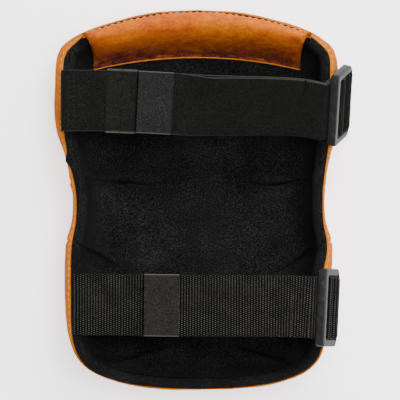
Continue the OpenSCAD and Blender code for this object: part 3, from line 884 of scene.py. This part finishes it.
# ---- materials
class Value:
    """A number or colour worked out in a material. + - * / ** and abs() each add a maths node."""

    def __init__(self, socket):
        self.socket = socket

    def __add__(self, other):
        return maths("ADD", self, other)

    def __sub__(self, other):
        return maths("SUBTRACT", self, other)

    def __rsub__(self, other):
        return maths("SUBTRACT", other, self)

    def __mul__(self, other):
        return maths("MULTIPLY", self, other)

    def __truediv__(self, other):
        return maths("DIVIDE", self, other)

    def __pow__(self, other):
        return maths("POWER", self, other)

    def __abs__(self):
        return maths("ABSOLUTE", self)

    def clamped(self):
        """The same value, held between 0 and 1 by the node that makes it."""
        self.socket.node.use_clamp = True
        return self


def put(value, socket):
    """Links a worked out value to a socket, or sets the socket to a plain number or colour."""
    if isinstance(value, Value):
        socket.id_data.links.new(value.socket, socket)
    elif isinstance(value, tuple):
        socket.default_value = (*value, 1)
    else:
        socket.default_value = value


def maths(operation, *values):
    """A maths node on one or two values, of which at least one is worked out."""
    tree = next(v for v in values if isinstance(v, Value)).socket.id_data
    made = tree.nodes.new("ShaderNodeMath")
    made.operation = operation
    for value, socket in zip(values, made.inputs):
        put(value, socket)
    return Value(made.outputs[0])


def sine(value):
    return maths("SINE", value)


def coordinates(tree, kind):
    return tree.nodes.new("ShaderNodeTexCoord").outputs[kind]


def split_coordinates(tree, kind):
    """X, Y and Z of the texture coordinates of the given kind."""
    made = tree.nodes.new("ShaderNodeSeparateXYZ")
    tree.links.new(coordinates(tree, kind), made.inputs["Vector"])
    return [Value(made.outputs[axis]) for axis in "XYZ"]


def noise_value(tree, scale, detail, rough):
    made = tree.nodes.new("ShaderNodeTexNoise")
    for name, value in (("Scale", scale), ("Detail", detail), ("Roughness", rough)):
        made.inputs[name].default_value = value
    tree.links.new(coordinates(tree, "Object"), made.inputs["Vector"])
    return Value(made.outputs["Fac"])


def attribute(tree, name):
    made = tree.nodes.new("ShaderNodeAttribute")
    made.attribute_name = name
    return Value(made.outputs["Fac"])


def ramp(value, stops):
    """A colour that follows a value through (place, colour) stops."""
    made = value.socket.id_data.nodes.new("ShaderNodeValToRGB")
    elements = made.color_ramp.elements
    while len(elements) < len(stops):
        elements.new(0.5)
    for element, (place, colour) in zip(elements, stops):
        element.position = place
        element.color = (*colour, 1)
    put(value, made.inputs["Fac"])
    return Value(made.outputs["Color"])


def mix(share, colour, other):
    """A colour with a share of another in it."""
    made = share.socket.id_data.nodes.new("ShaderNodeMix")
    made.data_type = "RGBA"
    # A mix node has sockets of every data type; these are the factor and the two colours
    for value, index in ((share, 0), (colour, 6), (other, 7)):
        put(value, made.inputs[index])
    return Value(made.outputs[2])


def bumped(height, distance, strength, below=None):
    """A bumped normal, on top of another one if that is given."""
    made = height.socket.id_data.nodes.new("ShaderNodeBump")
    made.inputs["Strength"].default_value = strength
    made.inputs["Distance"].default_value = distance
    put(height, made.inputs["Height"])
    if below is not None:
        put(below, made.inputs["Normal"])
    return Value(made.outputs["Normal"])


def new_material(name, roughness, specular=0.5):
    material = bpy.data.materials.new(name)
    material.use_nodes = True
    shader = material.node_tree.nodes["Principled BSDF"]
    shader.inputs["Roughness"].default_value = roughness
    shader.inputs["Specular IOR Level"].default_value = specular
    return material, material.node_tree, shader


def coat(shader, colour, normal):
    put(colour, shader.inputs["Base Color"])
    put(normal, shader.inputs["Normal"])


def suede(name, light, middle, dark, rubbed, shade_and_pressed=None):
    """Split leather with its nap brushed both ways, rubbed pale along its edges."""
    material, tree, shader = new_material(name, 0.95, 0.04)
    broad = noise_value(tree, 42, 5, 0.65)
    patches = noise_value(tree, 230, 5, 0.75)
    nap = noise_value(tree, 1500, 3, 0.75)
    mixed = broad * 0.30 + patches * 0.38 + nap * 0.32
    colour = ramp(mixed, [(0.41, dark), (0.475, middle), (0.53, light), (0.61, rubbed)])
    # Painted shade: where the facing's dark attribute says, a darker colour is mixed in, partly
    # standing for pressed nap
    if shade_and_pressed:
        blotch = (mixed - 0.5) * 3.2
        colour = mix((attribute(tree, "dark") * (0.95 - blotch)).clamped(), colour, shade_and_pressed)
    worn = (attribute(tree, "wear") * (patches + 0.25)).clamped()
    coat(shader, mix(worn, colour, rubbed),
         bumped(nap, 0.0005, 0.9, below=bumped(patches, 0.0012, 0.6)))
    return material


def painted_fold_shade(x, y, waver):
    """How much painted shade a place gets from the liner's folds, 0 to 1, along lines that waver.
    """
    fold = None
    for start, end in CREASES:
        line = np.array(end) - np.array(start)
        length = float(np.linalg.norm(line))
        way = line / length
        dx, dy = abs(x) - start[0], y - start[1]
        along = dx * (way[0] / length) + dy * (way[1] / length)
        off = dx * way[1] + dy * -way[0] + (waver - 0.5) * FOLD_SHADE_WAVER
        near = (1.0 - abs(off) * (1 / FOLD_SHADE_WIDTH)).clamped()
        ends = ((1.0 - abs(along - 0.5)) * 1.6 - 0.75).clamped()
        share = near * ends
        fold = share if fold is None else maths("MAXIMUM", fold, share)
    return fold


def liner_material():
    """Matt black cloth with a faint weave and lint, with painted shade along its folds."""
    material, tree, shader = new_material("liner_cloth_black", 0.95, 0.06)
    x, y, _ = split_coordinates(tree, "Object")
    turns = 2 * math.pi / LINER_PITCH
    weave = sine(x * turns) * sine(y * turns)
    lint = noise_value(tree, 1500, 2, 0.8)
    broad = noise_value(tree, 45, 3, 0.5)
    colour = ramp(lint * 0.86 + broad * 0.14, [(0.36, (0.0005, 0.0005, 0.0005)),
                                               (0.51, (0.0028, 0.0028, 0.0029)),
                                               (0.66, (0.0250, 0.0250, 0.0252))])
    fold = painted_fold_shade(x, y, broad)
    deep = bumped(fold * -1.0, 0.003, 1.0)
    # Painted shade: the folds are painted near black
    coat(shader, mix(fold, colour, (0.0002, 0.0002, 0.0002)),
         bumped(weave * 0.30 + lint, 0.0003, 0.8, below=deep))
    return material


def strap_material(name, base, light, along_pitch, across_pitch, depth):
    """Cloth whose yarns run along and across the strap, at pitches in millimetres."""
    material, tree, shader = new_material(name, 0.85, 0.05)
    along, across = attribute(tree, "along"), attribute(tree, "across")
    weave = sine(along * (2 * math.pi / along_pitch)) * sine(across * (2 * math.pi / across_pitch))
    fuzz = noise_value(tree, 1500, 2, 0.8)
    broad = noise_value(tree, 80, 3, 0.6)
    colour = ramp(weave * 0.10 + fuzz * 0.9 + broad * 0.1,
                  [(0.32, tuple(0.3 * c for c in base)), (0.5, base), (0.68, light)])
    # Painted highlight: both edges of the strap are painted lighter, as where light catches them
    painted_edge_highlight = ((abs(across) - (STRAP_W / 2 - 0.7)) * 1.2).clamped()
    coat(shader, mix(painted_edge_highlight, colour, tuple(2.2 * c for c in light)),
         bumped(weave + fuzz * 0.8, depth, 0.8))
    return material


def webbing_material():
    """Ribbed webbing: painted shade between the ribs, with a painted highlight where each yarn
    crosses one.
    """
    material, tree, shader = new_material("webbing_black", 0.8, 0.06)
    along, across = attribute(tree, "along"), attribute(tree, "across")
    rib_top = abs(sine(along * (math.pi / RIB))) ** 3.0
    row = maths("FLOOR", along / RIB)
    yarn = (sine(across * (2 * math.pi / YARN) + row * math.pi) + 1.0) * 0.5
    fuzz = noise_value(tree, 1500, 3, 0.7)
    broad = noise_value(tree, 110, 4, 0.65)
    # Painted highlight on the rib tops where the yarns cross, and painted shade between the ribs;
    # the same mask also raises the bump
    yarn_highlight = rib_top * yarn
    colour = ramp(yarn_highlight * (fuzz * 0.9 + broad * 0.9), [(0.02, (0.0012, 0.0012, 0.0011)),
                                                      (0.34, (0.0026, 0.0025, 0.0021)),
                                                      (0.82, (0.062, 0.059, 0.049))])
    coat(shader, colour, bumped(yarn_highlight + fuzz * 0.4, 0.0002, 0.8))
    return material


def plastic_material():
    material, tree, shader = new_material("slide_plastic_grey", 0.35, 0.1)
    grain = noise_value(tree, 2600, 2, 0.5)
    scuff = noise_value(tree, 240, 6, 0.75)
    colour = ramp(scuff, [(0.35, (0.010, 0.009, 0.010)), (0.55, (0.016, 0.0145, 0.0155)),
                          (0.72, (0.036, 0.033, 0.036))])
    put(scuff * 0.35 + 0.25, shader.inputs["Roughness"])
    coat(shader, colour, bumped(grain, 0.00006, 0.5))
    return material


def grained_material(name, roughness, grain, stops, depth, strength=0.5, specular=0.5):
    """A material whose colour and relief both follow one noise, which it returns as well."""
    material, tree, shader = new_material(name, roughness, specular)
    value = noise_value(tree, *grain)
    coat(shader, ramp(value, stops), bumped(value, depth, strength))
    return material, shader, value


def enamel_material():
    material, shader, wear = grained_material(
        "rivet_enamel_black", 0.35, (900, 5, 0.7),
        [(0.4, (0.008, 0.008, 0.008)), (0.7, (0.022, 0.022, 0.023))], 0.00005)
    put(wear * 0.3 + 0.2, shader.inputs["Roughness"])
    return material


def steel_material():
    material, shader, _ = grained_material(
        "washer_steel", 0.4, (1800, 3, 0.6),
        [(0.3, (0.30, 0.30, 0.30)), (0.7, (0.48, 0.48, 0.47))], 0.00004)
    shader.inputs["Metallic"].default_value = 1.0
    return material


def foam_material():
    return grained_material("foam_cells", 0.95, (1400, 2, 0.5),
                            [(0.35, (0.30, 0.29, 0.24)), (0.65, (0.50, 0.49, 0.42))],
                            0.0004, 0.8)[0]


def thread_material(name, base, light):
    return grained_material(name, 0.75, (2600, 2, 0.6), [(0.35, base), (0.65, light)],
                            0.0001, 0.6, specular=0.2)[0]


def set_material(piece, material):
    piece.data.materials.clear()
    piece.data.materials.append(material)


def finish_piece(piece, material, slot, body, *nodes):
    """Gives a piece its finish and its body, and hides the CAD nodes it stands for."""
    set_material(piece, material)
    if body:
        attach(piece, body)
    if nodes:
        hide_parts(*nodes)


# ---- build
# Colours of the facing, from the palest to the painted shade of the roll's underside, which partly
# stands for pressed nap, in linear light
TAN_LIGHT, TAN_MIDDLE = (0.52, 0.116, 0.002), (0.45, 0.090, 0.008)
TAN_DARK, TAN_RUBBED = (0.27, 0.046, 0.018), (0.60, 0.180, 0.006)
ROLL_SHADE_AND_PRESSED = (0.026, 0.006, 0.018)

leather = suede("suede_tan", (0.43, 0.104, 0.002), (0.36, 0.077, 0.002), (0.25, 0.043, 0.005),
                (0.50, 0.150, 0.005))
facing_leather = suede("suede_tan_facing", TAN_LIGHT, TAN_MIDDLE, TAN_DARK, TAN_RUBBED, ROLL_SHADE_AND_PRESSED)
patch_leather = suede("suede_tan_patch", TAN_MIDDLE, (0.42, 0.075, 0.006), TAN_DARK, TAN_LIGHT)
liner_black = liner_material()
elastic = strap_material("elastic_black", (0.0034, 0.0034, 0.0031), (0.0150, 0.0150, 0.0135),
                         0.95, 1.9, 0.00014)
webbing = webbing_material()
tab_upper = strap_material("tab_grey_upper", (0.0080, 0.0080, 0.0079), (0.0300, 0.0300, 0.0295),
                           0.7, 0.7, 0.00006)
tab_lower = strap_material("tab_grey_lower", (0.0098, 0.0095, 0.0083), (0.0330, 0.0320, 0.0280),
                           0.7, 0.7, 0.00006)
strip_cloth = strap_material("strip_cloth_black", (0.0052, 0.0051, 0.0042),
                             (0.0220, 0.0215, 0.0180), 0.8, 0.8, 0.0001)
hook_black = strap_material("hook_tape_black", (0.003, 0.003, 0.003), (0.010, 0.010, 0.010),
                            1.8, 1.8, 0.0003)
plastic = plastic_material()
enamel = enamel_material()
steel = steel_material()
foam = foam_material()
thread_light = thread_material("thread_tan", (0.40, 0.150, 0.025), (0.62, 0.27, 0.07))
thread_dark = thread_material("thread_black", (0.005, 0.005, 0.005), (0.012, 0.012, 0.012))

shell_piece, shell_grid, shell_steps = leather_shell()
finish_piece(shell_piece, leather, "leather", "pad", "leather_shell")

liner_piece = liner()
facing_piece, facing_outer, facing_normals = top_facing(liner_piece)
finish_piece(liner_piece, liner_black, "liner_cloth", "pad", "liner")
finish_piece(facing_piece, facing_leather, "leather_facing", "pad", "top_facing")

roll_piece = roll_filling(facing_outer, facing_normals)
finish_piece(roll_piece, foam, "foam", "pad", "top_roll")
fill_piece = filling()
finish_piece(fill_piece, foam, "foam", "pad", "foam_core", "felt_layer")

patch_piece = knee_patch()
finish_piece(patch_piece, patch_leather, "leather_patch", "pad", "knee_patch")

finish_piece(edge_seam(shell_grid, shell_steps), thread_light, "thread_light", "pad",
             "edge_stitches")
finish_piece(facing_seam(facing_outer, facing_normals), thread_light, "thread_light", "pad",
             "facing_stitches")
finish_piece(patch_seam(), thread_light, "thread_light", "pad", "patch_stitches")

for strap, cloth, cloth_slot, relief, step, tab_finish in (
        (UPPER, elastic, "elastic", elastic_relief, 1.0, tab_upper),
        (LOWER, webbing, "webbing", rib_relief, 0.29, tab_lower)):
    key = strap.name
    stand = standing_strap(strap, relief, step)
    stop = strap.placed(*bend_middle(strap))
    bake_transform(stand)
    finish_piece(stand, cloth, cloth_slot, None, key + "_strap", key + "_strap_turn")

    root, run, root_line, run_line = free_tail(strap, relief, step)
    tuple(root_line[0])
    tuple(root_line[-2])
    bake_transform(root)
    finish_piece(root, cloth, cloth_slot, None)
    tab_edge = above_pad(strap, strap.tail_x + TAB_L, TAIL_UP)[0]
    tuple(run_line[0])
    tuple(tab_edge)
    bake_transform(run)
    finish_piece(run, cloth, cloth_slot, None, key + "_strap_tail")

    tab = flat_patch(strap, key + "_end_tab_cloth", strap.tail_x - 0.5, strap.tail_x + TAB_L,
                     TAB_UP, STRAP_W + 0.4, TAB_T, 0.3, tab_relief)
    finish_piece(tab, tab_finish, "tab_cloth_" + key, key + "_tip", key + "_end_tab")
    hook = flat_patch(strap, key + "_hook_tape", strap.tail_x, strap.tail_x + TAB_L, HOOK_UP,
                      STRAP_W - 2, HOOK_T, 0.4, hook_relief)
    finish_piece(hook, hook_black, "hook_tape", key + "_tip", key + "_hook_patch")
    seam = rows_across(strap, key + "_tab_seam", (strap.tail_x + 1.6, strap.tail_x + TAB_L - 1.8),
                       TAB_UP + TAB_T / 2 - 0.12)
    finish_piece(seam, thread_dark, "thread_dark", key + "_tip", key + "_tab_stitches")
    tack = rows_across(strap, key + "_tack_seam", (strap.start_x + 3.2, strap.start_x + 6.4),
                       STRAP_T / 2)
    finish_piece(tack, thread_dark, "thread_dark", "pad", key + "_strap_tack")

    loop = anchor_tab(strap, relief)
    finish_piece(loop, cloth, cloth_slot, "pad", key + "_anchor_tab")
    moulding = slide_frame(strap)
    finish_piece(moulding, plastic, "slide_plastic", key + "_buckle", key + "_slide")
    set_material(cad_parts[key + "_rivet"], enamel)
    set_material(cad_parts[key + "_rivet_washer"], steel)

for j, strip_nodes in enumerate((("upper_strap_strips",), ())):
    start = UPPER.tail_x - 1 - (2 - j) * (STRIP_W + 0.4)
    strip = flat_patch(UPPER, f"upper_strip_{j + 1}", start, start + STRIP_W,
                       STRAP_T / 2 + 0.1 + STRIP_T / 2, STRAP_W + 1.6, STRIP_T, 0.4)
    finish_piece(strip, strip_cloth, "elastic", "pad", *strip_nodes)

# ---- floor, light and camera
floor_data = bpy.data.meshes.new("floor")
floor_data.from_pydata([(-4, -4, 0), (4, -4, 0), (4, 4, 0), (-4, 4, 0)], [], [(0, 1, 2, 3)])
floor = bpy.data.objects.new("floor", floor_data)
bpy.context.scene.collection.objects.link(floor)
paint, _, paint_shader = new_material("floor_white", 0.9, 0.1)
paint_shader.inputs["Base Color"].default_value = (0.93, 0.93, 0.93, 1)
paint_shader.inputs["Emission Color"].default_value = (1, 1, 1, 1)
paint_shader.inputs["Emission Strength"].default_value = 1.6
set_material(floor, paint)


def area_light(name, place, size, power):
    """A rectangular light that shines on the middle of the pad."""
    data = bpy.data.lights.new(name, "AREA")
    data.shape = "RECTANGLE"
    data.size, data.size_y = size
    data.energy = power
    lamp = bpy.data.objects.new(name, data)
    bpy.context.scene.collection.objects.link(lamp)
    lamp.location = place
    way = Vector((0, 0, 0.03)) - Vector(place)
    lamp.rotation_euler = way.to_track_quat("-Z", "Y").to_euler()


area_light("key", (0.35, 0.85, 1.25), (0.7, 0.5), 27)
area_light("top", (0.2, 0.15, 1.6), (0.5, 0.5), 30)
area_light("fill_right", (1.1, 0.0, 0.7), (0.6, 0.6), 6)
world = bpy.data.worlds.new("studio")
bpy.context.scene.world = world
world.use_nodes = True
sky = world.node_tree
_, _, sky_height = split_coordinates(sky, "Generated")
# Bright walls round the pad and a dim ceiling, so that smooth faces turned up stay dark
walls = ramp(sky_height, [(0.35, (1, 1, 1)), (0.85, (0.10, 0.10, 0.10))])
put(walls, sky.nodes["Background"].inputs["Color"])
sky.nodes["Background"].inputs["Strength"].default_value = 1.0

# The camera looks straight down. It shows this width at the height of the rim.
SENSOR, VIEW_WIDTH, VIEW_DISTANCE, RIM_PLANE = 36, 0.248, 3.0, 0.045
camera_data = bpy.data.cameras.new("camera")
camera_data.sensor_width = SENSOR
camera_data.lens = SENSOR * VIEW_DISTANCE / VIEW_WIDTH
camera = bpy.data.objects.new("camera", camera_data)
bpy.context.scene.collection.objects.link(camera)
camera.location = (0, 0, RIM_PLANE + VIEW_DISTANCE)
camera.rotation_euler = (0, 0, 0)
bpy.context.scene.camera = camera
